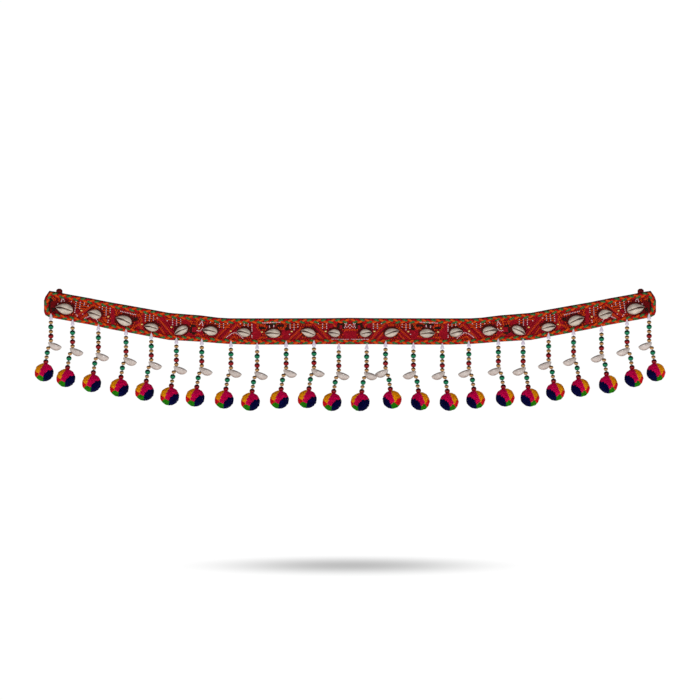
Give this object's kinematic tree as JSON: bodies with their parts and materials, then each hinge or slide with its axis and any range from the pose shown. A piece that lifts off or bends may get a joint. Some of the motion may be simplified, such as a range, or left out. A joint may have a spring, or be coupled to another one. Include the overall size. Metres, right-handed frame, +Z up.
{
  "type": "toran door hanging",
  "caption": "Long embroidered cloth band with a plaited edge, sewn cowrie shells and beaded strings that end in wool balls, hung by two loops.",
  "frame": {"origin": "middle of the band's top edge, halfway through its thickness", "axes": "+X along the band to the right as seen from the front, +Z up, and the front faces -Y"},
  "size_m": [0.9882, 0.034, 0.1935],
  "materials": {
    "cloth": "close hand embroidery on cotton",
    "plait": "plaited cord in green, orange and red",
    "tape": "maroon cotton tape",
    "cowrie": "natural cowrie shell",
    "wool": "clipped wool in five colours",
    "green_bead": "pearly green bead",
    "red_bead": "pearly red bead",
    "gold_bead": "gold coloured bead",
    "glass_drop": "pale glass",
    "seed_bead": "tiny pink and white glass beads",
    "thread": "embroidery thread"
  },
  "bodies": {
    "root": {"band": "cloth", "braid": "plait", "loop_left": "tape", "loop_right": "tape", "shell_01": "cowrie", "shell_02": "cowrie", "shell_03": "cowrie", "shell_04": "cowrie", "shell_05": "cowrie", "shell_06": "cowrie", "shell_07": "cowrie", "shell_08": "cowrie", "shell_09": "cowrie", "shell_10": "cowrie", "shell_11": "cowrie", "shell_12": "cowrie", "shell_13": "cowrie", "shell_14": "cowrie", "shell_15": "cowrie", "shell_16": "cowrie", "shell_17": "cowrie", "shell_18": "cowrie", "shell_19": "cowrie", "shell_20": "cowrie", "drop_01": "wool", "drop_02": "wool", "drop_03": "wool", "drop_04": "wool", "drop_05": "wool", "drop_06": "wool", "drop_07": "wool", "drop_08": "wool", "drop_09": "wool", "drop_10": "wool", "drop_11": "wool", "drop_12": "wool", "drop_13": "wool", "drop_14": "wool", "drop_15": "wool", "drop_16": "wool", "drop_17": "wool", "drop_18": "wool", "drop_19": "wool", "drop_20": "wool", "drop_21": "wool", "drop_22": "wool", "drop_23": "wool", "drop_24": "wool"}
  },
  "joints": []
}
